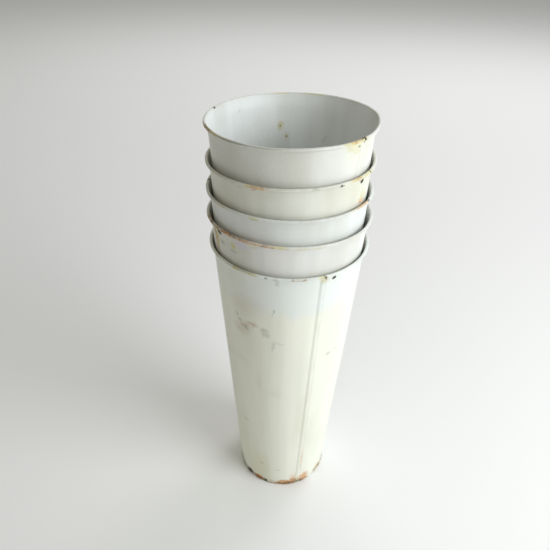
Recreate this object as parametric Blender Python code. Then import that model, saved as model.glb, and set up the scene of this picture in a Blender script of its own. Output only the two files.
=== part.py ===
"""A nest of five tall tapered flower buckets in painted sheet steel.

Each bucket is three pieces: a conical wall with a folded side seam and its top edge rolled outwards round a
wire, the wire itself, and a pressed base whose turned channel grips the foot of the wall. bucket_5 stands on
the floor, and bucket_4 to bucket_1 sit one inside another above it. Metres, +Z up, origin at the centre of
the bottom bucket's foot.
"""

import math

import bmesh
import bpy
from mathutils import Matrix, Vector

# Bucket
BUCKET_HEIGHT = 0.450
SHEET = 0.0005
FOOT_RADIUS = 0.0719  # outer face of the wall, run down to the floor
MOUTH_RADIUS = 0.1034  # outer face of the straight wall, run up to the middle of the rolled rim
FOLD_GAP = 0.0003  # between pieces that touch

# Rolled rim
WIRE_RADIUS = 0.0011
ROLL_INNER = WIRE_RADIUS + FOLD_GAP
ROLL_OUTER = ROLL_INNER + SHEET
ROLL_HEIGHT = BUCKET_HEIGHT - ROLL_OUTER
ROLL_END = math.radians(-125)  # where the cut edge of the roll stops, under the outer side
SET_OUT = 0.0016  # the wall turns out by this much just under the roll
SET_OUT_HEIGHT = 0.016
ROLL_RADIUS = MOUTH_RADIUS + SET_OUT + ROLL_INNER

# Folded side seam
SEAM_WIDTH = 0.006
SEAM_RISE = 0.0008
SEAM_EDGE = 0.0005  # width of each sloping side
SEAM_FOOT = 0.006
SEAM_TOP = ROLL_HEIGHT - 0.0045
SEAM_DRIFT = math.radians(2.5)  # how far round the seam wanders from foot to rim

# Hole under the rim
HOLE_HEIGHT = ROLL_HEIGHT - 0.0075
CUTTER_LENGTH = 0.012

# Foot of the wall and the base that grips it
HEM_THICKNESS = 0.00055  # the foot is folded back on itself
HEM_TOP = 0.0034
PANEL_HEIGHT = 0.005  # underside of the base disc above the floor
CHANNEL_TOP = 0.0045
CHANNEL_RADIUS = FOOT_RADIUS + 0.0015

# How finely round shapes are cut
SIDES = 36
ROLL_SIDES = 6
WIRE_SIDES = 6

SLOPE = (MOUTH_RADIUS - FOOT_RADIUS) / ROLL_HEIGHT

# Each bucket from the top of the nest to the bottom: how far its foot stands above the foot of the one
# below, where its seam is round the rim in degrees, where its hole is in degrees and the hole's radius, how
# far its mouth leans to +X and +Y, how much its worn rim climbs per metre towards +X and +Y, and its paint.
# Paint has closed most of bucket_1's hole.
BUCKETS = {
    "bucket_1": {"step": 0.0460, "seam": -43.0, "hole": (-45.9, 0.0011), "lean": (0.0000, 0.0000),
                 "climb": (0.018, 0.006), "paint": (0.71, 0.71, 0.69)},
    "bucket_2": {"step": 0.0385, "seam": -33.5, "hole": (-38.5, 0.0022), "lean": (-0.0010, 0.0000),
                 "climb": (0.021, -0.002), "paint": (0.69, 0.69, 0.62)},
    "bucket_3": {"step": 0.0360, "seam": 118.0, "hole": (126.7, 0.0022), "lean": (-0.0012, 0.0000),
                 "climb": (0.003, -0.002), "paint": (0.66, 0.69, 0.70)},
    "bucket_4": {"step": 0.0420, "seam": -156.0, "hole": (-147.5, 0.0022), "lean": (0.0001, -0.0003),
                 "climb": (-0.005, -0.012), "paint": (0.70, 0.70, 0.66)},
    "bucket_5": {"step": 0.0000, "seam": -65.8, "hole": (-57.7, 0.0022), "lean": (0.0000, 0.0000),
                 "climb": (0.004, 0.006), "paint": (0.71, 0.72, 0.66)},
}
WIRE_STEEL = (0.32, 0.30, 0.28)
BASE_SHADE = 0.9  # the base is a little darker than the wall


def clear_scene():
    for old in list(bpy.data.objects):
        bpy.data.objects.remove(old, do_unlink=True)


def make_material(name, colour, metallic, roughness):
    material = bpy.data.materials.new(name)
    material.use_nodes = True
    shader = material.node_tree.nodes["Principled BSDF"]
    shader.inputs["Base Color"].default_value = (*colour, 1.0)
    shader.inputs["Metallic"].default_value = metallic
    shader.inputs["Roughness"].default_value = roughness
    return material


def wall_radius(height):
    """Outer face of the wall at a height above the foot, with the set-out under the roll."""
    t = (height - (ROLL_HEIGHT - SET_OUT_HEIGHT)) / SET_OUT_HEIGHT
    t = min(max(t, 0.0), 1.0)
    return FOOT_RADIUS + SLOPE * height + SET_OUT * t * t * (3 - 2 * t)


def stations(radius, height, seam_angle):
    """Angles round the bucket at one ring: four on the folded seam, the rest evenly between."""
    centre = seam_angle - SEAM_DRIFT * (1 - height / ROLL_HEIGHT)
    half = SEAM_WIDTH / 2 / radius
    edge = SEAM_EDGE / radius
    on_seam = [-half, edge - half, half - edge, half]
    spacing = (2 * math.pi - 2 * half) / SIDES
    between = [half + spacing * k for k in range(1, SIDES)]
    return [centre + angle for angle in on_seam + between]


def settle(point, bucket):
    """A point of a true bucket, moved by the lean of its mouth and the climb of its rim."""
    share = point.z / ROLL_HEIGHT
    climb = bucket["climb"][0] * point.x + bucket["climb"][1] * point.y
    return point + share * Vector((bucket["lean"][0], bucket["lean"][1], climb))


def ring(radius, height, bucket, rise=0.0):
    """One ring of points, raised by rise along the folded seam."""
    points = []
    for k, angle in enumerate(stations(radius, height, math.radians(bucket["seam"]))):
        r = radius + (rise if k in (1, 2) else 0.0)
        points.append(settle(Vector((r * math.cos(angle), r * math.sin(angle), height)), bucket))
    return points


def turned_solid(name, rings, closed):
    """A solid from rings of points: a closed loop of rings, or rings capped at both ends."""
    mesh = bmesh.new()
    verts = [[mesh.verts.new(p) for p in points] for points in rings]
    count = len(verts[0])
    last = len(verts) if closed else len(verts) - 1
    for i in range(last):
        lower = verts[i]
        upper = verts[(i + 1) % len(verts)]
        rising = upper[0].co.z > lower[0].co.z
        for k in range(count):
            n = (k + 1) % count
            # Both faces of the sheet split along the same diagonal, so it keeps its thickness where the seam drifts
            if rising:
                mesh.faces.new((lower[k], lower[n], upper[k]))
                mesh.faces.new((lower[n], upper[n], upper[k]))
            else:
                mesh.faces.new((lower[k], lower[n], upper[n]))
                mesh.faces.new((lower[k], upper[n], upper[k]))
    if not closed:
        mesh.faces.new(verts[0])
        mesh.faces.new(verts[-1])
    bmesh.ops.recalc_face_normals(mesh, faces=mesh.faces)
    data = bpy.data.meshes.new(name)
    mesh.to_mesh(data)
    mesh.free()
    data.shade_smooth()
    data.set_sharp_from_angle(angle=math.radians(35))
    return data


def add_object(name, data, parent, material=None):
    thing = bpy.data.objects.new(name, data)
    bpy.context.scene.collection.objects.link(thing)
    thing.parent = parent
    if material is not None:
        data.materials.append(material)
    return thing


def roll_arc(radius, from_angle, to_angle, sides):
    """(radius, height) points on an arc about the middle of the wire."""
    arc = []
    for k in range(sides + 1):
        angle = from_angle + (to_angle - from_angle) * k / sides
        arc.append((ROLL_RADIUS + radius * math.cos(angle), ROLL_HEIGHT + radius * math.sin(angle)))
    return arc


def wall_rings(bucket):
    """The section of the wall taken round: up the outer face, round the roll and down the inner face."""
    foot = SHEET + FOLD_GAP
    set_out_start = ROLL_HEIGHT - SET_OUT_HEIGHT
    set_out_middle = ROLL_HEIGHT - SET_OUT_HEIGHT / 2
    hem_radius = wall_radius(HEM_TOP) + HEM_THICKNESS
    outer = [
        (hem_radius, foot, 0.0),
        (hem_radius, HEM_TOP, 0.0),
        (wall_radius(HEM_TOP), HEM_TOP, 0.0),
        (wall_radius(SEAM_FOOT), SEAM_FOOT, 0.0),
        (wall_radius(SEAM_FOOT + SEAM_RISE), SEAM_FOOT + SEAM_RISE, SEAM_RISE),
        (wall_radius(set_out_start), set_out_start, SEAM_RISE),
        (wall_radius(set_out_middle), set_out_middle, SEAM_RISE),
        (wall_radius(SEAM_TOP - SEAM_RISE), SEAM_TOP - SEAM_RISE, SEAM_RISE),
        (wall_radius(SEAM_TOP), SEAM_TOP, 0.0),
    ]
    inner_heights = [SEAM_TOP, set_out_middle, set_out_start, foot]
    inner = [(wall_radius(h) - SHEET, h, 0.0) for h in inner_heights]
    around_wire = [(r, h, 0.0) for r, h in roll_arc(ROLL_INNER, math.pi, ROLL_END, ROLL_SIDES)]
    outside = [(r, h, 0.0) for r, h in roll_arc(ROLL_OUTER, ROLL_END, math.pi, ROLL_SIDES)]
    return [ring(r, h, bucket, rise) for r, h, rise in outer + around_wire + outside + inner]


def make_wall(name, bucket, parent, material):
    wall = add_object(name, turned_solid(name, wall_rings(bucket), closed=True), parent, material)
    degrees_round, hole_radius = bucket["hole"]
    angle = math.radians(degrees_round)
    radius = wall_radius(HOLE_HEIGHT)
    outward = Vector((math.cos(angle), math.sin(angle), 0.0))
    middle = settle(outward * radius + Vector((0.0, 0.0, HOLE_HEIGHT)), bucket)
    cutter_mesh = bmesh.new()
    bmesh.ops.create_cone(cutter_mesh, cap_ends=True, segments=12, radius1=hole_radius,
                          radius2=hole_radius, depth=CUTTER_LENGTH)
    turn = outward.to_track_quat("Z", "Y").to_matrix().to_4x4()
    bmesh.ops.transform(cutter_mesh, matrix=Matrix.Translation(middle) @ turn, verts=cutter_mesh.verts)
    cutter_data = bpy.data.meshes.new(name + "_hole_cutter")
    cutter_mesh.to_mesh(cutter_data)
    cutter_mesh.free()
    cutter = add_object(name + "_hole_cutter", cutter_data, parent)
    cutter.hide_render = True
    cutter.display_type = "WIRE"
    cut = wall.modifiers.new("Hole", "BOOLEAN")
    cut.operation = "DIFFERENCE"
    cut.solver = "EXACT"
    cut.object = cutter
    return wall


def make_wire(name, bucket, parent, material):
    section = roll_arc(WIRE_RADIUS, 0.0, 2 * math.pi, WIRE_SIDES)[:-1]
    rings = [ring(r, h, bucket) for r, h in section]
    return add_object(name, turned_solid(name, rings, closed=True), parent, material)


def make_base(name, bucket, parent, material):
    """The pressed disc: a flat panel, a wall down to the floor, and a channel up round the wall's foot."""
    inner = wall_radius(PANEL_HEIGHT + SHEET) - SHEET - FOLD_GAP
    inner_low = wall_radius(SHEET) - SHEET - FOLD_GAP
    lip = wall_radius(CHANNEL_TOP) + FOLD_GAP
    channel_inside = CHANNEL_RADIUS - SHEET
    middle = 0.01  # the flat panel runs in to here, and a small cap closes it
    section = [
        (middle, PANEL_HEIGHT),
        (inner - SHEET, PANEL_HEIGHT),
        (inner_low - SHEET, 0.0),
        (CHANNEL_RADIUS, 0.0),
        (CHANNEL_RADIUS, CHANNEL_TOP),
        (lip, CHANNEL_TOP),
        (lip, CHANNEL_TOP - SHEET),
        (channel_inside, CHANNEL_TOP - SHEET),
        (channel_inside, SHEET),
        (inner_low, SHEET),
        (inner, PANEL_HEIGHT + SHEET),
        (middle, PANEL_HEIGHT + SHEET),
    ]
    rings = [ring(r, h, bucket) for r, h in section]
    return add_object(name, turned_solid(name, rings, closed=False), parent, material)


def make_bucket(name, bucket, foot_height, parent):
    frame = bpy.data.objects.new(name + "_frame", None)
    bpy.context.scene.collection.objects.link(frame)
    frame.parent = parent
    frame.location = (0.0, 0.0, foot_height)
    paint = bucket["paint"]
    wall_paint = make_material(name + "_wall_paint", paint, 0.0, 0.45)
    base_paint = make_material(name + "_base_paint", [c * BASE_SHADE for c in paint], 0.0, 0.5)
    wire_steel = make_material(name + "_wire_steel", WIRE_STEEL, 0.9, 0.5)
    make_wall(name + "_wall", bucket, frame, wall_paint)
    make_wire(name + "_rim_wire", bucket, frame, wire_steel)
    make_base(name + "_base", bucket, frame, base_paint)
    return frame


def main():
    clear_scene()
    below = None
    for name in reversed(list(BUCKETS)):
        below = make_bucket(name, BUCKETS[name], BUCKETS[name]["step"], below)


main()
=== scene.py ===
import math

import bpy
from mathutils import Matrix, Vector, noise


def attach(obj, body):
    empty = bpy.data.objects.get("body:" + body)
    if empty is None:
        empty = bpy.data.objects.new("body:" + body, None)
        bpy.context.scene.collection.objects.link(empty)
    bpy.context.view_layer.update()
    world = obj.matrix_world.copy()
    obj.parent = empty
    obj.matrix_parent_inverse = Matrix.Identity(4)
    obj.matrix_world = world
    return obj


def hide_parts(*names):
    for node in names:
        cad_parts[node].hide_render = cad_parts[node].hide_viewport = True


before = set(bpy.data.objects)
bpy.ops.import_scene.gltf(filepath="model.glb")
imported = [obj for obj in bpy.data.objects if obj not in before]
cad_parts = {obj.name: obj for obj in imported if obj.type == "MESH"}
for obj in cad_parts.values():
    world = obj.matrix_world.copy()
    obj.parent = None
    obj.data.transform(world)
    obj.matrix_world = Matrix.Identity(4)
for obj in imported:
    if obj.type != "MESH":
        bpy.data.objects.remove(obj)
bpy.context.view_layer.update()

# The bucket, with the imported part's own sizes
SHEET = 0.0005
FOOT_RADIUS = 0.0719
MOUTH_RADIUS = 0.1034
FOLD_GAP = 0.0003
WIRE_RADIUS = 0.0011
ROLL_INNER = WIRE_RADIUS + FOLD_GAP
ROLL_OUTER = ROLL_INNER + SHEET
ROLL_HEIGHT = 0.4481
ROLL_END = math.radians(-125)
SET_OUT = 0.0016
SET_OUT_HEIGHT = 0.016
ROLL_RADIUS = MOUTH_RADIUS + SET_OUT + ROLL_INNER
SEAM_RISE = 0.0008
SEAM_FOOT = 0.006
SEAM_TOP = ROLL_HEIGHT - 0.0045
SEAM_FADE = 0.0012
SEAM_DRIFT = 2.5  # degrees round, from foot to rim
HOLE_HEIGHT = ROLL_HEIGHT - 0.0075
HEM_THICKNESS = 0.00055
HEM_TOP = 0.0034
PANEL_HEIGHT = 0.005
CHANNEL_TOP = 0.0045
CHANNEL_RADIUS = FOOT_RADIUS + 0.0015
SLOPE = (MOUTH_RADIUS - FOOT_RADIUS) / ROLL_HEIGHT
COLUMNS = 216
CLEAR_OF_SEAM = 0.072  # radians on each side of the seam that its own closer columns fill
SHARP = math.radians(38)
BASE_COLUMNS = 240

# Marks on the paint: kind, middle in degrees round from the front and in mm above the foot, half its width
# in degrees and half its height in mm, how soft its edge is, and how strong it is
MARKS = {
    "bucket_1": (
        ("rust", -69, 448.6, 9, 2.4, 0.5, 0.6),
        ("stain", -63, 448.5, 12, 2.4, 0.5, 0.7),
        ("chip_and_shade", -69, 449.7, 5, 0.7, 0.5, 0.35),
        ("orange", -54.5, 447.6, 1.5, 2.0, 0.4, 0.5),
        # painted shade with dirt: dark lines along the rim's inner top edge
        ("grime_and_shade", -40, 448.8, 14, 1.1, 0.5, 0.5),
        ("grime_and_shade", -17, 448.9, 12, 0.8, 0.6, 0.3),
        ("chip_and_shade", -110.5, 448.9, 1.2, 1.7, 0.2, 0.9),
        ("stain", 40, 448.4, 9.5, 2.8, 0.4, 0.9),
        ("orange", 37, 448.8, 3.2, 1.2, 0.5, 0.45),
        ("rust", 41.5, 449.7, 4.6, 0.7, 0.4, 0.45),
        ("chip_and_shade", 46.4, 448.4, 0.9, 2.4, 0.3, 0.95),
        # painted shadow under the lifted end of the rim's curl
        ("chip_and_shade", 48.2, 445.4, 0.8, 2.4, 0.4, 0.8),
        ("chip_and_shade", 44.4, 449.9, 1.8, 0.5, 0.4, 0.6),
        ("stain", 39.5, 442.0, 6.5, 6.0, 0.6, 0.55),
        ("stain", 42.5, 435.5, 3.2, 5.5, 0.5, 0.5),
        ("stain", 37.8, 433, 1.3, 4.5, 0.6, 0.35),
        ("stain", 51, 444.5, 4, 3.2, 0.6, 0.35),
        ("grime_and_shade", 43.6, 440.5, 1.0, 1.7, 0.5, 0.4),
        ("stain", -172, 449.4, 6, 1.2, 0.5, 0.5),
        ("stain", 163, 449.0, 9, 1.4, 0.5, 0.5),
        # painted shade: a broad soft darkening over the left of the wall, the side turned from the light
        ("dirt_and_shade", -36, 418, 26, 34, 1.0, 0.15),
        ("stain", 50, 431, 16, 14, 1.0, 0.2),
    ),
    "bucket_2": (
        ("stain", -27.5, 448.8, 2.4, 2.2, 0.5, 0.75),
        ("orange", -21.5, 448.0, 4.8, 1.8, 0.45, 0.6),
        ("rust", -20.0, 449.3, 5.5, 0.9, 0.5, 0.6),
        ("stain", -20, 445.6, 7, 2.0, 0.6, 0.15),
        ("orange", -25, 444.0, 1.5, 1.1, 0.5, 0.5),
        ("grime_and_shade", -42, 445.4, 4.5, 0.8, 0.5, 0.3),
        ("grime_and_shade", -35, 443.2, 2.4, 0.7, 0.5, 0.25),
        ("grime_and_shade", 13, 448.4, 2.2, 1.8, 0.6, 0.3),
        ("chip_and_shade", 29.8, 447.6, 0.8, 1.7, 0.3, 0.75),
        ("chip_and_shade", 31.4, 445.6, 1.3, 1.9, 0.25, 1.0),
        ("stain", 43, 447.8, 6, 3.0, 0.5, 0.8),
        ("orange", 43.5, 449.2, 4.0, 1.1, 0.5, 0.4),
        ("rust", 42.5, 449.9, 5, 0.6, 0.5, 0.3),
        ("stain", 54.5, 447.5, 7, 3.2, 0.5, 0.75),
        ("stain", 60, 444.5, 4, 3.0, 0.6, 0.5),
        # a paint chip round the hole, with painted shade darkening the hole's edge
        ("chip_and_shade", 51.5, 440.6, 1.9, 3.0, 0.25, 1.0),
        ("rust", 49.2, 443.4, 1.6, 1.6, 0.5, 0.5),
        ("orange", 56.0, 412.4, 3.6, 3.4, 0.6, 0.7),
        ("rust", 56.5, 411.0, 1.6, 1.6, 0.6, 0.6),
        ("stain", 57.5, 419.0, 5.5, 6.0, 0.7, 0.55),
        ("chip_and_shade", 58.8, 412.5, 1.0, 1.6, 0.5, 0.4),
        ("rust", 150, 448.6, 14, 2.2, 0.5, 1.0),
        ("rust", -128, 448.6, 10, 2.2, 0.5, 1.0),
        ("stain", 150, 436, 6, 12, 0.8, 0.5),
        ("stain", 46, 432, 17, 14, 1.0, 0.17),
    ),
    "bucket_3": (
        ("chip_and_shade", -93, 449.2, 1.2, 1.7, 0.3, 0.85),
        ("stain", -51, 447.8, 5, 2.2, 0.5, 0.45),
        ("stain", -24.5, 446.9, 3.6, 2.3, 0.45, 0.75),
        ("grime_and_shade", -24, 445.4, 2.6, 1.0, 0.4, 0.5),
        ("stain", -5, 446.6, 4, 1.2, 0.5, 0.3),
        ("stain", 50, 449.7, 10, 0.8, 0.5, 0.35),
        ("orange", 54, 449.8, 8, 0.9, 0.5, 0.55),
        ("chip_and_shade", 62, 449.6, 2.0, 0.9, 0.5, 0.6),
        ("rust", 138, 448.6, 10, 2.2, 0.5, 1.0),
        ("rust", -150, 448.6, 16, 2.0, 0.5, 0.9),
        ("stain", -150, 440, 6, 9, 0.8, 0.4),
    ),
    "bucket_4": (
        ("rust", -70, 448.6, 8.5, 2.4, 0.4, 0.8),
        ("stain", -66.5, 441.0, 6.5, 7.0, 0.6, 0.65),
        ("chip_and_shade", -64, 449.0, 1.6, 1.8, 0.5, 0.5),
        ("rust", -57, 448.6, 7, 2.4, 0.5, 0.75),
        ("orange", -46.5, 447.6, 5.6, 3.4, 0.45, 0.8),
        ("rust", -43.5, 449.4, 4.5, 1.4, 0.5, 0.7),
        ("chip_and_shade", -42.5, 449.7, 5, 0.8, 0.6, 0.45),
        ("rust", -33.5, 448.2, 9, 2.7, 0.5, 0.75),
        ("rust", -18.5, 448.4, 8.5, 2.4, 0.5, 0.7),
        ("orange", -27, 447.6, 9, 2.0, 0.6, 0.5),
        ("orange", -15, 446.9, 5.5, 1.9, 0.6, 0.5),
        ("chip_and_shade", -18.3, 447.4, 1.2, 0.8, 0.5, 0.45),
        ("chip_and_shade", -38, 449.8, 16, 0.4, 0.5, 0.25),
        ("stain", -7, 448.7, 5, 2.0, 0.5, 0.7),
        ("grime_and_shade", -2.4, 446.8, 1.1, 1.2, 0.5, 0.35),
        ("stain", 7, 446.8, 5, 2.6, 0.5, 0.35),
        ("stain", 17.5, 446.4, 6, 2.6, 0.5, 0.3),
        ("stain", -43.4, 431.5, 2.0, 4.4, 0.45, 0.95),
        ("grime_and_shade", -43.5, 423.5, 3.0, 2.6, 0.7, 0.25),
        ("lilac", -35, 438.0, 6.0, 5.0, 0.5, 0.6),
        ("stain", -25.5, 441.5, 3.5, 3.0, 0.6, 0.3),
        ("grime_and_shade", -55.5, 427, 2.4, 3.0, 0.7, 0.4),
        ("stain", -62.5, 429, 2.6, 15, 0.5, 0.8),
        ("rust", -65.2, 437, 1.2, 6, 0.6, 0.8),
        ("rust", -67.2, 426, 1.2, 8, 0.6, 0.8),
        ("rustwash", -64, 428, 3.5, 16, 0.7, 0.25),
        # painted shade darkening round the hole's edge
        ("chip_and_shade", -57.5, 440.4, 2.5, 3.2, 0.25, 1.0),
        ("rust", 134, 448.6, 16, 2.4, 0.5, 1.0),
        ("orange", 165, 448.6, 14, 2.4, 0.5, 1.0),
    ),
    "bucket_5": (
        ("stain", -39.5, 447.4, 4.2, 3.2, 0.5, 0.85),
        ("stain", -32, 447.8, 2.6, 2.4, 0.5, 0.45),
        ("stain", -26, 447.6, 3.6, 2.8, 0.5, 0.7),
        ("chip_and_shade", -46.8, 446.0, 1.2, 0.9, 0.5, 0.4),
        ("chip_and_shade", -34, 449.4, 11, 0.5, 0.6, 0.35),
        ("grime_and_shade", -9.6, 446.6, 1.8, 3.0, 0.6, 0.3),
        ("grime_and_shade", -8.6, 440, 1.4, 4.5, 0.7, 0.25),
        ("rust", -60, 447, 2.5, 2.2, 0.6, 0.35),
        ("chip_and_shade", -15.8, 448.4, 1.0, 1.1, 0.4, 0.6),
        ("rust", 2.0, 447.2, 1.1, 2.6, 0.5, 0.65),
        ("rust", 9.4, 447.2, 1.9, 2.6, 0.5, 0.75),
        ("rust", 5.5, 445.8, 5.5, 0.9, 0.5, 0.6),
        ("rust", 5.5, 448.0, 3.4, 2.2, 0.6, 0.35),
        ("stain", 21.8, 448.0, 3.0, 2.4, 0.5, 0.7),
        ("stain", 24.4, 441.5, 3.0, 5.0, 0.5, 0.5),
        ("rust", 23, 446.4, 2.4, 2.2, 0.5, 0.45),
        ("chip_and_shade", 24.2, 447.8, 0.7, 2.0, 0.4, 0.75),
        ("chip_and_shade", 25.5, 443.8, 0.6, 2.2, 0.4, 0.7),
        # painted shade darkening round the hole's edge
        ("chip_and_shade", 32.3, 440.6, 1.55, 2.7, 0.25, 0.9),
        ("rustwash", -30, 361, 5, 3.6, 0.8, 0.5),
        ("rustwash", -37, 354, 5, 4.5, 0.8, 0.5),
        ("rustwash", -41, 343, 6, 5, 0.9, 0.3),
        ("rustwash", -35, 391, 12, 14, 0.95, 0.16),
        ("dirt_and_shade", -41, 362, 2.2, 2.6, 0.8, 0.5),
        ("dirt_and_shade", -37, 348.5, 3.6, 2.0, 0.7, 0.45),
        ("dirt_and_shade", -45, 367, 1.4, 3, 0.8, 0.35),
        ("dirt_and_shade", -19.4, 356.5, 2.4, 4.5, 0.8, 0.38),
        ("dirt_and_shade", -18.2, 350.5, 2.2, 4.0, 0.8, 0.3),
        ("dirt_and_shade", -15.8, 349, 1.4, 3.4, 0.8, 0.28),
        ("dirt_and_shade", -11.8, 330, 1.2, 9, 0.8, 0.22),
        ("dirt_and_shade", -7, 337, 3.4, 1.6, 0.8, 0.18),
        ("grime_and_shade", -10.8, 393, 0.55, 3.0, 0.6, 0.45),
        ("grime_and_shade", -12.0, 387, 0.5, 2.4, 0.6, 0.25),
        ("dirt_and_shade", -25, 252, 2.6, 15, 0.95, 0.1),
        ("dirt_and_shade", -9, 233, 7, 8, 0.95, 0.06),
        ("dirt_and_shade", -50, 285, 9, 6, 0.95, 0.09),
        ("dirt_and_shade", -70, 300, 4, 3, 0.9, 0.3),
        ("dirt_and_shade", -66, 275, 4, 3, 0.9, 0.3),
        ("grime_and_shade", 39, 301.5, 2.2, 2.2, 0.7, 0.35),
        ("grime_and_shade", 47.5, 303.5, 2.5, 1.5, 0.7, 0.22),
        ("grime_and_shade", 24.6, 360, 0.6, 14, 0.8, 0.14),
        ("grime_and_shade", 24.4, 290, 0.6, 12, 0.8, 0.12),
        ("rustwash", -47, 147, 5, 2.4, 0.9, 0.3),
        ("grime_and_shade", -27, 49.5, 3.2, 2.0, 0.7, 0.25),
        ("dirt_and_shade", 13, 255, 6, 70, 1.0, 0.08),
        ("grime_and_shade", -5.4, 40, 3.0, 1.0, 0.5, 0.35),
        ("stain", -34, 42, 14, 30, 0.95, 0.22),
        ("orange", 24.0, 64, 1.5, 22, 0.8, 0.35),
        # painted shade with dirt: the foot's left side darkened where it turns from the light
        ("grime_and_shade", -76, 12, 8, 18, 0.95, 0.3),
        ("grime_and_shade", -61, 2, 10, 3.4, 0.8, 0.5),
        ("chip_and_shade", -48, 2.5, 6.0, 6.5, 0.5, 0.85),
        ("orange", -32, 4.0, 7.0, 5.6, 0.45, 1.0),
        ("chip_and_shade", -30, 2.6, 6, 4.4, 0.7, 0.45),
        ("chip_and_shade", -22, 3.0, 2.4, 3.6, 0.45, 0.9),
        ("rustwash", -12, 3.6, 7, 3.4, 0.7, 0.3),
        ("rust", -12, 1.5, 8, 2.0, 0.5, 0.8),
        ("chip_and_shade", -15, 0.8, 9, 1.1, 0.6, 0.5),
        ("grime_and_shade", -18, 2.0, 3, 1.2, 0.6, 0.4),
        ("orange", 4, 4.5, 10.5, 6.2, 0.45, 0.95),
        ("orange", 14.6, 6.5, 4.8, 9.5, 0.6, 0.9),
        ("orange", 14.8, 17, 3.8, 9, 0.8, 0.4),
        ("chip_and_shade", 7, 2.2, 9, 3.4, 0.7, 0.45),
        ("chip_and_shade", 18.6, 4.0, 1.0, 6, 0.7, 0.4),
        ("rust", 22.3, 8, 1.8, 5, 0.6, 0.45),
        ("stain", 21.5, 8, 2.4, 6, 0.5, 0.8),
        ("chip_and_shade", 21.0, 3.2, 1.4, 3.0, 0.5, 0.6),
        ("chip_and_shade", 25, 2.4, 2.2, 3.4, 0.5, 0.7),
        ("orange", 30.5, 8.5, 6.5, 11, 0.7, 0.9),
        ("orange", 36, 2.6, 3.5, 3.6, 0.6, 0.5),
        ("grime_and_shade", 50, 5, 2.4, 5, 0.6, 0.25),
        ("stain", 57, 7, 6, 10, 0.6, 0.4),
        ("rustwash", 57.5, 6, 7, 7, 0.7, 0.4),
        # painted shadow with grime: the foot's contact shadow along its bottom edge
        ("grime_and_shade", 80, 1.6, 12, 3.0, 0.5, 0.6),
        ("rust", 62, 2.0, 15, 2.6, 0.5, 0.85),
        ("orange", 140, 3.0, 34, 6.0, 0.5, 1.0),
        ("orange", -130, 3.0, 22, 5.0, 0.5, 1.0),
        ("stain", 118, 8.0, 9, 9.0, 0.6, 0.6),
        ("rust", 120, 448.6, 12, 2.2, 0.5, 1.0),
        ("rust", -140, 448.6, 16, 2.2, 0.5, 0.9),
        ("dirt_and_shade", 150, 300, 7, 16, 0.9, 0.3),
        ("dirt_and_shade", -165, 210, 9, 8, 0.9, 0.25),
        ("rustwash", 100, 190, 6, 9, 0.9, 0.35),
        ("rustwash", 24.6, 442, 3.4, 5, 0.7, 0.2),
    ),
}
INSIDE_MARKS = {
    "bucket_1": (
        ("chip_and_shade", -171.5, 406.0, 0.5, 1.6, 0.5, 0.55),
        ("stain", -171.7, 407.0, 2.0, 5.5, 0.8, 0.7),
        ("chip_and_shade", -176.7, 391.1, 0.7, 1.5, 0.4, 0.7),
        ("stain", -176.2, 392.0, 2.0, 4.0, 0.8, 0.45),
        ("grime_and_shade", -137.0, 433.7, 0.9, 2.0, 0.6, 0.2),
        ("grime_and_shade", 152.4, 388.4, 0.5, 2.2, 0.6, 0.3),
        ("grime_and_shade", 151.2, 391.0, 0.5, 2.2, 0.6, 0.3),
        ("grime_and_shade", 150.0, 393.8, 0.5, 2.2, 0.6, 0.25),
        # painted shade: a broad soft darkening low on the inside, which lies deep in shade
        ("dirt_and_shade", -166, 374, 48, 25, 1.0, 0.17),
        ("rustwash", 172, 60, 20, 26, 0.9, 0.5),
    ),
}

# Each bucket, in metres unless it says so. The foot is its height above the floor. The seam is in degrees
# round from +X at the rim, and so is the hole, with its radius. The joint is how far the roll's joint
# stands from the seam, in mm. The mouth leans to +X and +Y, and its rim climbs per metre towards them.
# Each bend is in degrees round from the front, then its spread in degrees, and how far out it pushes the
# mouth in mm. Then come the paints, the seed of its noise, and how dark the seam's edges are.
BUCKETS = {
    "bucket_1": {"foot": 0.1625, "seam": -43.0, "joint": -1.9, "hole": (-45.9, 0.0011),
                 "lean": (0.0, 0.0), "climb": (0.018, 0.006),
                 "bent": ((79, 29, -3.8), (155, 40, -1.4), (-56, 20, -0.9)),
                 "outside": (0.72, 0.728, 0.68), "inside": (0.76, 0.782, 0.76), "seed": 1.7, "crease": 0.0},
    "bucket_2": {"foot": 0.1165, "seam": -33.5, "joint": 3.0, "hole": (-38.5, 0.0022),
                 "lean": (-0.001, 0.0), "climb": (0.021, -0.002),
                 "bent": ((82, 23, -2.4), (-78, 28, -1.3)),
                 "outside": (0.72, 0.725, 0.65), "inside": (0.72, 0.72, 0.66), "seed": 5.1, "crease": 0.05},
    "bucket_3": {"foot": 0.0776, "seam": 118.0, "joint": 0.6, "hole": (126.7, 0.0022),
                 "lean": (-0.0012, 0.0), "climb": (0.003, -0.002),
                 "bent": ((86, 26, -1.3), (-84, 22, -1.0)),
                 "outside": (0.70, 0.722, 0.694), "inside": (0.70, 0.72, 0.70), "seed": 9.3, "crease": 0.3},
    "bucket_4": {"foot": 0.0427, "seam": -156.0, "joint": 0.8, "hole": (-147.5, 0.0022),
                 "lean": (0.0001, -0.0003), "climb": (-0.005, -0.012),
                 "bent": ((-78, 28, 1.2), (60, 30, 0.4)),
                 "outside": (0.72, 0.725, 0.69), "inside": (0.72, 0.72, 0.67), "seed": 13.9, "crease": 0.4,
                 "worn": (385.0, 420.0)},
    "bucket_5": {"foot": 0.0, "seam": -65.8, "joint": -1.7, "hole": (-57.7, 0.0022),
                 "lean": (0.0, 0.0), "climb": (0.004, 0.006), "bent": ((-46, 28, -1.4),),
                 "outside": (0.79, 0.80, 0.695), "inside": (0.74, 0.745, 0.68), "seed": 20.2, "crease": 0.3,
                 "band": (0.775, 0.815, 0.775)},
}


# Shapes

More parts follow.
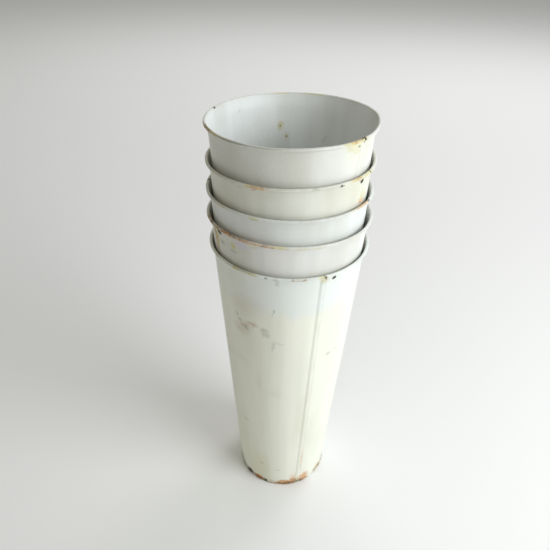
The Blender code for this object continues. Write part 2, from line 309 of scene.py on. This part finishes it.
def wall_radius(height):
    """Outer face of the wall, with the set-out under the roll."""
    t = min(max((height - (ROLL_HEIGHT - SET_OUT_HEIGHT)) / SET_OUT_HEIGHT, 0.0), 1.0)
    return FOOT_RADIUS + SLOPE * height + SET_OUT * t * t * (3 - 2 * t)


def smooth(value):
    value = min(max(value, 0.0), 1.0)
    return value * value * (3 - 2 * value)


def settle(point, bucket):
    """A point of a true bucket, put in its place in the nest, with its mouth bent, leaning and climbing."""
    share = point.z / ROLL_HEIGHT
    around = math.degrees(math.atan2(point.x, -point.y))
    radius = math.hypot(point.x, point.y)
    bend = 0.0
    for middle, spread, depth in bucket["bent"]:
        gap = (around - middle + 180) % 360 - 180
        bend += depth / 1000 * math.exp(-(gap / spread) ** 2) * max(share, 0.0) ** 3
    scale = 1 + bend / max(radius, 0.02)
    lean = bucket["lean"]
    climb = bucket["climb"][0] * point.x + bucket["climb"][1] * point.y
    return Vector((point.x * scale + share * lean[0], point.y * scale + share * lean[1],
                   point.z + share * climb + bucket["foot"]))


def wave(angle, height, seed):
    """How far the sheet stands out of true: shallow dents, and the flats left by the bending rolls."""
    x, y = math.cos(angle), math.sin(angle)
    free = smooth(height / 0.06)
    dents = 0.00032 * noise.noise(Vector((1.4 * x, 1.4 * y, 7 * height + seed)))
    flats = 0.00012 * noise.noise(Vector((8 * x, 8 * y, 2 * height + seed)))
    return free * (dents + flats)


def rim_wander(angle, height, seed):
    """How far the worn rim rises or dips from level."""
    place = Vector((2.2 * math.cos(angle), 2.2 * math.sin(angle), seed))
    return 0.00045 * noise.noise(place) * (height / ROLL_HEIGHT) ** 6


def seam_profile(offset):
    """Share of the seam's rise at a distance in metres from its middle: a fold dressed down on one side."""
    return min(smooth((offset + 0.0042) / 0.0038), smooth((0.0034 - offset) / 0.0008))


def joint_profile(offset):
    """The curl's own joint: a slit across the roll, with one end lapped a little proud of the other."""
    slit = -0.00044 * max(0.0, 1 - abs(offset) / 0.00042)
    lap = 0.0002 * math.exp(-offset / 0.005) if offset > 0.0004 else 0.0
    return slit + lap


def wall_columns(bucket):
    """Each column as a turn from the seam's middle in radians and a further distance in metres."""
    on_seam = (-4.7, -4.2, -3.7, -3.2, -2.7, -2.2, -1.7, -1.2, -0.8, -0.4, 0.2,
               1.4, 2.5, 2.7, 2.9, 3.1, 3.3, 3.5, 3.9)
    at_joint = [bucket["joint"] + step for step in (-0.45, -0.2, 0.0, 0.2, 0.45)]
    kept = [x for x in on_seam if all(abs(x - other) > 0.12 for other in at_joint)]
    close = [(0.0, x / 1000) for x in sorted(kept + at_joint)]
    spacing = (2 * math.pi - 2 * CLEAR_OF_SEAM) / (COLUMNS - 1)
    return close + [(CLEAR_OF_SEAM + spacing * k, 0.0) for k in range(COLUMNS)]


def wall_section():
    """Rows of the wall's section: radius, height, way out of the sheet, share of seam, groove and joint."""
    low = SHEET + FOLD_GAP
    hem = wall_radius(HEM_TOP) + HEM_THICKNESS
    out = (1.0, 0.0)
    rows = [(hem - 0.0002, low, out, 0, 0, 0), (hem, low + 0.0002, out, 0, 0, 0),
            (hem, HEM_TOP - 0.0002, out, 0, 0, 0), (hem - 0.0002, HEM_TOP, out, 0, 0, 0),
            (wall_radius(HEM_TOP), HEM_TOP, out, 0, 0, 0)]
    foot = [SEAM_FOOT + SEAM_FADE * k / 3 for k in range(4)] + [0.0095, 0.014]
    middle = [0.02 + 0.0125 * k for k in range(33)]
    top = [0.426, 0.4305, 0.433, 0.4351, 0.4371, 0.4391, 0.4408]
    top += [SEAM_TOP - SEAM_FADE, SEAM_TOP - SEAM_FADE / 2, SEAM_TOP, 0.4452, 0.4468]
    for height in foot + middle + top:
        seam = smooth((height - SEAM_FOOT) / SEAM_FADE) * smooth((SEAM_TOP - height) / SEAM_FADE)
        rows.append((wall_radius(height), height, out, seam, 0, 0))
    turn = math.pi - ROLL_END
    for k in range(13):
        rows.append(roll_row(ROLL_INNER, math.pi - turn * k / 12, 0))
    for k in range(23):
        rows.append(roll_row(ROLL_OUTER, ROLL_END + turn * k / 22, 1))
    outside_rows = len(rows)
    for height in reversed([low, 0.006, 0.012] + middle + [0.426, 0.4305, 0.434, 0.4375, 0.441, 0.4445]):
        groove = smooth((height - SEAM_FOOT) / SEAM_FADE)
        rows.append((wall_radius(height) - SHEET, height, out, 0, groove, 0))
    return rows, outside_rows


def roll_row(radius, angle, joint):
    way = (math.cos(angle), math.sin(angle))
    return (ROLL_RADIUS + radius * way[0], ROLL_HEIGHT + radius * way[1], way, 0, 0, joint)


def skin(name, rings, closed, materials, bands):
    """A mesh from rings of points: a closed loop of rings, or rings capped at both ends."""
    count = len(rings[0])
    points = [p for ring in rings for p in ring]
    faces = []
    paints = []
    for i in range(len(rings) if closed else len(rings) - 1):
        j = (i + 1) % len(rings)
        for k in range(count):
            n = (k + 1) % count
            faces.append((i * count + k, i * count + n, j * count + n, j * count + k))
            paints.append(0 if i < bands else 1)
    if not closed:
        last = (len(rings) - 1) * count
        faces.append(tuple(reversed(range(count))))
        faces.append(tuple(last + k for k in range(count)))
        paints += [0, 0]
    data = bpy.data.meshes.new(name)
    data.from_pydata(points, [], faces)
    for material in materials:
        data.materials.append(material)
    data.polygons.foreach_set("material_index", paints)
    data.shade_smooth()
    data.set_sharp_from_angle(angle=SHARP)
    piece = bpy.data.objects.new(name, data)
    bpy.context.scene.collection.objects.link(piece)
    return piece


def make_wall(name, bucket, paints):
    rows, outside_rows = wall_section()
    columns = wall_columns(bucket)
    joint = bucket["joint"] / 1000
    rings = []
    for radius, height, way, seam, groove, lap in rows:
        middle = math.radians(bucket["seam"] - SEAM_DRIFT * (1 - height / ROLL_HEIGHT))
        ring = []
        for turn, along in columns:
            angle = middle + turn + along / radius
            push = 0.0
            if turn == 0.0:
                push = seam * SEAM_RISE * seam_profile(along)
                push += groove * 0.0002 * math.exp(-((along + 0.0026) / 0.0004) ** 2)
            if lap:
                offset = along if turn == 0.0 else (turn if turn < math.pi else turn - 2 * math.pi) * radius
                push += joint_profile(offset - joint)
            r = radius + push * way[0] + wave(angle, height, bucket["seed"])
            z = height + push * way[1] + rim_wander(angle, height, bucket["seed"])
            ring.append(settle(Vector((r * math.cos(angle), r * math.sin(angle), z)), bucket))
        rings.append(ring)
    wall = skin(name, rings, True, paints, outside_rows - 1)
    cut_hole(wall, bucket)
    return wall


def cut_hole(wall, bucket):
    """Cuts the small round hole under the rim, and drops the tool that cut it."""
    angle = math.radians(bucket["hole"][0])
    size = bucket["hole"][1]
    outward = Vector((math.cos(angle), math.sin(angle), 0.0))
    across = Vector((-outward.y, outward.x, 0.0))
    upward = Vector((0, 0, 1))
    centre = settle(outward * wall_radius(HOLE_HEIGHT) + Vector((0, 0, HOLE_HEIGHT)), bucket)
    rings = []
    for depth in (-0.006, 0.006):
        spokes = [2 * math.pi * k / 28 for k in range(28)]
        rings.append([centre + outward * depth + size * (math.cos(a) * across + math.sin(a) * upward)
                      for a in spokes])
    tool = skin(wall.name + "_hole_tool", rings, False, wall.data.materials[:1], len(rings))
    cut = wall.modifiers.new("Hole", "BOOLEAN")
    cut.operation = "DIFFERENCE"
    cut.solver = "EXACT"
    cut.object = tool
    ready = bpy.context.evaluated_depsgraph_get()
    data = bpy.data.meshes.new_from_object(wall.evaluated_get(ready))
    wall.modifiers.clear()
    wall.data = data
    data.set_sharp_from_angle(angle=SHARP)
    bpy.data.objects.remove(tool, do_unlink=True)


def make_wire(name, bucket, material):
    rings = []
    for k in range(10):
        turn = -2 * math.pi * k / 10
        radius = ROLL_RADIUS + WIRE_RADIUS * math.cos(turn)
        height = ROLL_HEIGHT + WIRE_RADIUS * math.sin(turn)
        ring = []
        for n in range(COLUMNS):
            angle = 2 * math.pi * n / COLUMNS
            r = radius + wave(angle, height, bucket["seed"])
            z = height + rim_wander(angle, height, bucket["seed"])
            ring.append(settle(Vector((r * math.cos(angle), r * math.sin(angle), z)), bucket))
        rings.append(ring)
    rings.reverse()
    return skin(name, rings, True, [material], len(rings))


def base_section():
    """The pressed base's section: under the panel, down its side, out and up the channel, and back."""
    inner = wall_radius(PANEL_HEIGHT + SHEET) - SHEET - FOLD_GAP
    low = wall_radius(SHEET) - SHEET - FOLD_GAP
    lip = wall_radius(CHANNEL_TOP) + FOLD_GAP
    edge = CHANNEL_RADIUS
    panel = [0.001, 0.012, 0.022, 0.028, 0.0295, 0.031, 0.0325,
             0.034, 0.0355, 0.037, 0.0385, 0.04, 0.05, 0.06]
    raised = [0.0009 * math.exp(-((r - 0.034) / 0.0026) ** 2) for r in panel]
    section = [(r, PANEL_HEIGHT + rise) for r, rise in zip(panel, raised)]
    section += [(inner - SHEET - 0.0014, PANEL_HEIGHT), (inner - SHEET - 0.0005, PANEL_HEIGHT - 0.0002),
                (inner - SHEET, PANEL_HEIGHT - 0.0009), (low - SHEET, 0.0007),
                (low - SHEET + 0.0002, 0.0002), (low - SHEET + 0.0007, 0.0), (edge - 0.0008, 0.0),
                (edge - 0.00025, 0.0002), (edge, 0.0008), (edge + 0.0001, 0.0022),
                (edge, CHANNEL_TOP - 0.0009), (edge - 0.00025, CHANNEL_TOP - 0.00025),
                (edge - 0.0008, CHANNEL_TOP), (lip, CHANNEL_TOP), (lip, CHANNEL_TOP - SHEET),
                (edge - SHEET, CHANNEL_TOP - SHEET), (edge - SHEET, SHEET), (low, SHEET),
                (inner, PANEL_HEIGHT - 0.0002), (inner - 0.0003, PANEL_HEIGHT + 0.0003),
                (inner - 0.0012, PANEL_HEIGHT + SHEET)]
    section += [(r, PANEL_HEIGHT + SHEET + rise) for r, rise in reversed(list(zip(panel, raised)))]
    return section


def make_base(name, bucket, material, flaking):
    rings = []
    for radius, height in base_section():
        ring = []
        for n in range(BASE_COLUMNS):
            angle = 2 * math.pi * n / BASE_COLUMNS
            rough = 0.0
            if radius > CHANNEL_RADIUS - 0.0001:
                place = Vector((26 * math.cos(angle), 26 * math.sin(angle), 400 * height))
                rough = flaking * noise.noise(place)
            r = radius + rough
            ring.append(settle(Vector((r * math.cos(angle), r * math.sin(angle), height)), bucket))
        rings.append(ring)
    return skin(name, rings, False, [material], len(rings))


# Surfaces

class Paint:
    """Adds nodes to one material, with short ways to say the usual ones."""

    def __init__(self, tree):
        self.nodes = tree.nodes
        self.links = tree.links

    def feed(self, socket, value):
        if isinstance(value, bpy.types.NodeSocket):
            self.links.new(value, socket)
        elif isinstance(value, tuple) and len(value) == 3 and socket.type == "RGBA":
            socket.default_value = (*value, 1.0)
        else:
            socket.default_value = value

    def math(self, operation, *values):
        node = self.nodes.new("ShaderNodeMath")
        node.operation = operation
        for socket, value in zip(node.inputs, values):
            self.feed(socket, value)
        return node.outputs[0]

    def range(self, value, low, high, start=0.0, end=1.0):
        node = self.nodes.new("ShaderNodeMapRange")
        node.interpolation_type = "SMOOTHSTEP"
        for socket, given in zip(node.inputs, (value, low, high, start, end)):
            self.feed(socket, given)
        return node.outputs[0]

    def mix(self, share, first, second):
        node = self.nodes.new("ShaderNodeMix")
        node.data_type = "RGBA"
        self.feed(node.inputs[0], share)
        self.feed(node.inputs[6], first)
        self.feed(node.inputs[7], second)
        return node.outputs[2]

    def stretch(self, vector, scale):
        node = self.nodes.new("ShaderNodeVectorMath")
        node.operation = "MULTIPLY"
        self.feed(node.inputs[0], vector)
        node.inputs[1].default_value = scale
        return node.outputs[0]

    def noise(self, vector, scale, detail=3.0, output="Fac"):
        node = self.nodes.new("ShaderNodeTexNoise")
        self.feed(node.inputs["Vector"], vector)
        node.inputs["Scale"].default_value = scale
        node.inputs["Detail"].default_value = detail
        return node.outputs[output]

    def largest(self, values):
        result = values[0]
        for value in values[1:]:
            result = self.math("MAXIMUM", result, value)
        return result


def make_mark_group():
    """One oval mark with a wandering edge, as a node group that every paint uses."""
    group = bpy.data.node_groups.new("mark", "ShaderNodeTree")
    names = ("around", "up", "wander", "middle around", "middle up", "half around", "half up", "soft",
             "strength")
    for name in names:
        group.interface.new_socket(name, in_out="INPUT", socket_type="NodeSocketFloat")
    group.interface.new_socket("mask", in_out="OUTPUT", socket_type="NodeSocketFloat")
    paint = Paint(group)
    given = paint.nodes.new("NodeGroupInput").outputs
    made = paint.nodes.new("NodeGroupOutput").inputs
    x = paint.math("DIVIDE", paint.math("SUBTRACT", given[0], given[3]), given[5])
    y = paint.math("DIVIDE", paint.math("SUBTRACT", given[1], given[4]), given[6])
    far = paint.math("SQRT", paint.math("ADD", paint.math("MULTIPLY", x, x), paint.math("MULTIPLY", y, y)))
    far = paint.math("ADD", far, given[2])
    mask = paint.range(far, paint.math("ADD", 1.0, given[7]), paint.math("SUBTRACT", 1.0, given[7]))
    paint.links.new(paint.math("MULTIPLY", mask, given[8]), made[0])
    return group


MARK_GROUP = make_mark_group()
# How far the edge of each kind of mark wanders
WANDER = {"lilac": 0.8, "stain": 1.2, "rustwash": 1.4, "dirt_and_shade": 1.4,
          "grime_and_shade": 1.0, "rust": 1.3, "orange": 1.3, "chip_and_shade": 1.0}


def marks_mask(paint, kind, marks, around, up, ragged):
    masks = []
    wander = paint.math("MULTIPLY", ragged, WANDER[kind])
    for one in marks:
        if one[0] == kind:
            node = paint.nodes.new("ShaderNodeGroup")
            node.node_tree = MARK_GROUP
            for socket, value in zip(node.inputs, (around, up, wander, *one[1:])):
                paint.feed(socket, float(value) if isinstance(value, int) else value)
            masks.append(node.outputs[0])
    return paint.largest(masks) if masks else None


def place_nodes(paint, bucket):
    """Object-space position, degrees round from the front, mm above the foot, and mm across the seam."""
    spot = paint.nodes.new("ShaderNodeTexCoord").outputs["Object"]
    split = paint.nodes.new("ShaderNodeSeparateXYZ")
    paint.links.new(spot, split.inputs[0])
    x, y, z = split.outputs
    turn = paint.math("ARCTAN2", x, paint.math("MULTIPLY", y, -1.0))
    around = paint.math("MULTIPLY", turn, 180 / math.pi)
    raw = paint.math("SUBTRACT", z, bucket["foot"])
    climb = paint.math("ADD", paint.math("MULTIPLY", x, bucket["climb"][0]),
                       paint.math("MULTIPLY", y, bucket["climb"][1]))
    share = paint.math("DIVIDE", raw, ROLL_HEIGHT)
    up = paint.math("MULTIPLY", paint.math("SUBTRACT", raw, paint.math("MULTIPLY", share, climb)), 1000.0)
    middle = paint.math("ADD", bucket["seam"] + 90 - SEAM_DRIFT, paint.math("MULTIPLY", share, SEAM_DRIFT))
    radius = paint.math("ADD", 1000 * FOOT_RADIUS, paint.math("MULTIPLY", up, SLOPE))
    across = paint.math("MULTIPLY", paint.math("SUBTRACT", around, middle),
                        paint.math("MULTIPLY", radius, math.pi / 180))
    return spot, around, up, across


def paint_material(name, bucket, colour, marks, outside):
    """Old brush paint on sheet steel, with its stains, dirt, rust and chips, and some painted shade: low
    inside, round the holes, along the rim, the seam and the foot, and over the rim bead.
    """
    material = bpy.data.materials.new(name)
    material.use_nodes = True
    paint = Paint(material.node_tree)
    shader = paint.nodes["Principled BSDF"]
    spot, around, up, across = place_nodes(paint, bucket)
    shifted = paint.nodes.new("ShaderNodeVectorMath")
    paint.links.new(spot, shifted.inputs[0])
    shifted.inputs[1].default_value = (0.0, 0.0, bucket["seed"])
    place = shifted.outputs[0]
    streaks = paint.noise(paint.stretch(place, (1.0, 1.0, 0.05)), 38.0)
    clouds = paint.noise(paint.stretch(place, (1.0, 1.0, 0.35)), 16.0)
    fine = paint.noise(place, 900.0, 2.0)
    coarse = paint.noise(place, 240.0, 4.0)
    grain = paint.noise(place, 2200.0, 2.0)
    brush = paint.noise(paint.stretch(place, (1.0, 1.0, 0.04)), 900.0, 2.0)
    ragged = paint.math("SUBTRACT", paint.math("ADD", coarse, paint.math("MULTIPLY", fine, 0.6)), 0.8)

    paler = tuple(min(c * 1.06, 1.0) for c in colour)
    deeper = (colour[0] * 0.91, colour[1] * 0.90, colour[2] * 0.84)
    look = paint.mix(paint.range(streaks, 0.35, 0.65), colour, paler)
    look = paint.mix(paint.range(clouds, 0.45, 0.75, 0.0, 0.7 if outside else 0.3), look, deeper)
    if "band" in bucket and outside:
        edge = paint.math("ADD", up, paint.math("MULTIPLY", paint.math("SUBTRACT", streaks, 0.5), 40.0))
        fading = paint.range(around, -60.0, -8.0, 0.45, 1.0)
        share = paint.math("MULTIPLY", paint.range(edge, 378.0, 402.0), fading)
        look = paint.mix(share, look, bucket["band"])
    # darker in patches towards the rim
    grime_and_shade = paint.math("MULTIPLY", paint.range(up, 405.0, 447.0), paint.range(clouds, 0.4, 0.65, 0.0, 0.22))
    look = paint.mix(grime_and_shade, look, (0.50, 0.49, 0.42))
    # painted shade with handling dirt: the rim bead darkened in patches, toning down its lit top
    patchy = paint.range(coarse, 0.35, 0.7, 0.02, 0.24)
    bead_dirt_and_shade = paint.math("MULTIPLY", paint.range(up, 446.6, 449.4), patchy)
    look = paint.mix(bead_dirt_and_shade, look, (0.44, 0.43, 0.38))
    rough = paint.range(coarse, 0.3, 0.7, 0.36, 0.5)
    lift = paint.math("ADD", paint.math("MULTIPLY", brush, 0.22), paint.math("MULTIPLY", clouds, 0.1))

    def layer(mask, shade, harsh, height):
        nonlocal look, rough, lift
        look = paint.mix(mask, look, shade)
        rough = paint.math("ADD", paint.math("MULTIPLY", rough, paint.math("SUBTRACT", 1.0, mask)),
                           paint.math("MULTIPLY", mask, harsh))
        lift = paint.math("ADD", lift, paint.math("MULTIPLY", mask, height))

    rust_shade = paint.mix(paint.range(coarse, 0.38, 0.62), (0.33, 0.24, 0.15), (0.64, 0.53, 0.38))
    rust_shade = paint.mix(paint.range(grain, 0.45, 0.7, 0.0, 0.4), rust_shade, (0.42, 0.28, 0.16))
    orange_shade = paint.mix(paint.range(coarse, 0.36, 0.58), (0.46, 0.215, 0.09), (0.76, 0.44, 0.19))
    orange_shade = paint.mix(paint.range(grain, 0.5, 0.7, 0.0, 0.3), orange_shade, (0.50, 0.24, 0.10))
    orange_shade = paint.mix(paint.range(up, 7.0, 0.5, 0.0, 0.8), orange_shade, (0.20, 0.08, 0.035))
    shades = {
        "lilac": ((0.62, 0.57, 0.68), 0.5, 0.0),
        "stain": (paint.mix(coarse, (0.56, 0.52, 0.22), (0.70, 0.65, 0.37)), 0.55, 0.0),
        "rustwash": ((0.46, 0.30, 0.18), 0.6, 0.0),
        "dirt_and_shade": (paint.mix(coarse, (0.17, 0.17, 0.12), (0.30, 0.29, 0.22)), 0.6, 0.0),
        "grime_and_shade": (paint.mix(coarse, (0.15, 0.15, 0.10), (0.28, 0.27, 0.20)), 0.6, 0.0),
        "rust": (rust_shade, 0.85, paint.math("MULTIPLY", grain, 0.7)),
        "orange": (orange_shade, 0.85, paint.math("MULTIPLY", grain, 0.9)),
        "chip_and_shade": (paint.mix(coarse, (0.012, 0.009, 0.006), (0.07, 0.032, 0.014)), 0.8, -0.6),
    }
    if outside:
        # painted shade with dirt in the crease: dark lines along both edges of the seam, standing for the
        # shade on its flanks
        edges = paint.math("ABSOLUTE", paint.math("ADD", across, 0.4))
        edges = paint.math("ABSOLUTE", paint.math("SUBTRACT", edges, 3.6))
        on_wall = paint.math("MULTIPLY", paint.range(up, 5.0, 9.0), paint.range(up, 445.0, 443.0))
        line = paint.math("MULTIPLY", paint.range(edges, 1.3, 0.2, 0.0, bucket["crease"]), on_wall)
        layer(line, (0.30, 0.29, 0.24), 0.6, -0.1)
        if "worn" in bucket:
            near = paint.math("MULTIPLY", paint.range(edges, 2.2, 0.4), paint.range(up, *bucket["worn"]))
            bare = paint.math("MULTIPLY", near, paint.range(coarse, 0.3, 0.46))
            layer(paint.math("MULTIPLY", bare, on_wall), rust_shade, 0.85, 0.2)
    bend = paint.nodes.new("ShaderNodeSeparateColor")
    paint.links.new(paint.noise(place, 55.0, 3.0, "Color"), bend.inputs[0])
    sideways = paint.math("MULTIPLY", paint.math("SUBTRACT", bend.outputs[0], 0.5), 8.0)
    upwards = paint.math("MULTIPLY", paint.math("SUBTRACT", bend.outputs[1], 0.5), 18.0)
    bent_around = paint.math("ADD", around, sideways)
    bent_up = paint.math("ADD", up, upwards)
    for kind, (shade, harsh, height) in shades.items():
        where = (bent_around, bent_up) if kind in ("dirt_and_shade", "rustwash") else (around, up)
        mask = marks_mask(paint, kind, marks, *where, ragged)
        if mask is not None:
            layer(mask, shade, harsh, height)
    if outside:
        # painted shade: the roll's joint slit painted near-black, for the shade inside the slit
        off = paint.math("ABSOLUTE", paint.math("SUBTRACT", across, bucket["joint"]))
        slit = paint.math("MULTIPLY", paint.range(off, 0.6, 0.25), paint.range(up, 446.0, 446.6))
        layer(slit, (0.02, 0.014, 0.01), 0.8, 0.0)

    paint.feed(shader.inputs["Base Color"], look)
    paint.feed(shader.inputs["Roughness"], rough)
    shader.inputs["Specular IOR Level"].default_value = 0.45
    bump = paint.nodes.new("ShaderNodeBump")
    bump.inputs["Strength"].default_value = 0.5
    bump.inputs["Distance"].default_value = 0.00035
    paint.feed(bump.inputs["Height"], lift)
    paint.feed(shader.inputs["Normal"], bump.outputs[0])
    return material


def wire_material():
    material = bpy.data.materials.new("rim_wire_steel")
    material.use_nodes = True
    paint = Paint(material.node_tree)
    shader = paint.nodes["Principled BSDF"]
    spot = paint.nodes.new("ShaderNodeTexCoord").outputs["Object"]
    patches = paint.noise(spot, 160.0, 4.0)
    rusty = paint.range(patches, 0.42, 0.6)
    paint.feed(shader.inputs["Base Color"], paint.mix(rusty, (0.30, 0.28, 0.26), (0.20, 0.08, 0.03)))
    paint.feed(shader.inputs["Roughness"], paint.range(patches, 0.42, 0.6, 0.45, 0.85))
    paint.feed(shader.inputs["Metallic"], paint.range(patches, 0.42, 0.6, 0.9, 0.1))
    return material


# The nest

wire = wire_material()
for bucket_name, bucket in BUCKETS.items():
    outside = paint_material(bucket_name + "_outside", bucket, bucket["outside"], MARKS[bucket_name], True)
    inside = paint_material(bucket_name + "_inside", bucket, bucket["inside"],
                            INSIDE_MARKS.get(bucket_name, ()), False)
    flaking = 0.0004 if bucket_name == "bucket_5" else 0.0001
    made = {
        "wall": make_wall(bucket_name + "_wall_look", bucket, [outside, inside]),
        "base": make_base(bucket_name + "_base_look", bucket, outside, flaking),
        "rim_wire": make_wire(bucket_name + "_rim_wire_look", bucket, wire),
    }
    for part, piece in made.items():
        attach(piece, bucket_name)
        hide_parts(bucket_name + "_" + part)

# The floor, the lights and the camera

floor_data = bpy.data.meshes.new("floor")
floor_data.from_pydata([(-30, -30, 0), (30, -30, 0), (30, 30, 0), (-30, 30, 0)], [], [(0, 1, 2, 3)])
floor = bpy.data.objects.new("floor", floor_data)
bpy.context.scene.collection.objects.link(floor)
floor_paint = bpy.data.materials.new("floor")
floor_paint.use_nodes = True
floor_paint.node_tree.nodes["Principled BSDF"].inputs["Base Color"].default_value = (0.88, 0.885, 0.87, 1.0)
floor_paint.node_tree.nodes["Principled BSDF"].inputs["Roughness"].default_value = 0.75
floor_data.materials.append(floor_paint)


def add_light(name, energy, place, target, size, colour):
    """A round soft lamp at a place, facing a target."""
    lamp = bpy.data.lights.new(name, "AREA")
    lamp.energy = energy
    lamp.color = colour
    lamp.shape = "DISK"
    lamp.size = size
    way = Vector(place) - Vector(target)
    holder = bpy.data.objects.new(name, lamp)
    holder.matrix_world = Matrix.Translation(place) @ way.to_track_quat("Z", "Y").to_matrix().to_4x4()
    bpy.context.scene.collection.objects.link(holder)


add_light("softbox", 36.5, (1.6, -0.92, 1.2), (0.0, 0.0, 0.35), 1.55, (0.96, 0.99, 1.0))
add_light("floor_wash_right", 50.0, (1.9, 2.4, 3.0), (1.9, 2.4, 0.0), 2.0, (0.97, 0.95, 1.0))
add_light("floor_wash_left", 22.0, (-0.65, 3.3, 3.0), (-0.65, 3.3, 0.0), 2.0, (0.95, 1.0, 0.98))

# The room's own light is dim, a little warm, and bluer towards the right.
world = bpy.data.worlds.new("studio")
bpy.context.scene.world = world
world.use_nodes = True
sky = Paint(world.node_tree)
towards = sky.nodes.new("ShaderNodeSeparateXYZ")
sky.links.new(sky.nodes.new("ShaderNodeTexCoord").outputs["Generated"], towards.inputs[0])
right = sky.math("MAXIMUM", towards.outputs[0], 0.0)
glow = sky.mix(right, (0.349, 0.334, 0.289), (0.349, 0.387, 0.491))
sky.feed(sky.nodes["Background"].inputs["Color"], glow)
sky.nodes["Background"].inputs["Strength"].default_value = 1.0

lens = bpy.data.cameras.new("camera")
lens.sensor_width = 36.0
lens.lens = 34.86
camera = bpy.data.objects.new("camera", lens)
camera.matrix_world = (Matrix.Translation((-0.0181, -0.6363, 0.8079))
                       @ Matrix.Rotation(math.radians(90 - 33.68), 4, "X")
                       @ Matrix.Rotation(math.radians(1.08), 4, "Z"))
bpy.context.scene.collection.objects.link(camera)
bpy.context.scene.camera = camera

bpy.context.scene.view_settings.view_transform = "Standard"
bpy.context.scene.view_settings.look = "None"
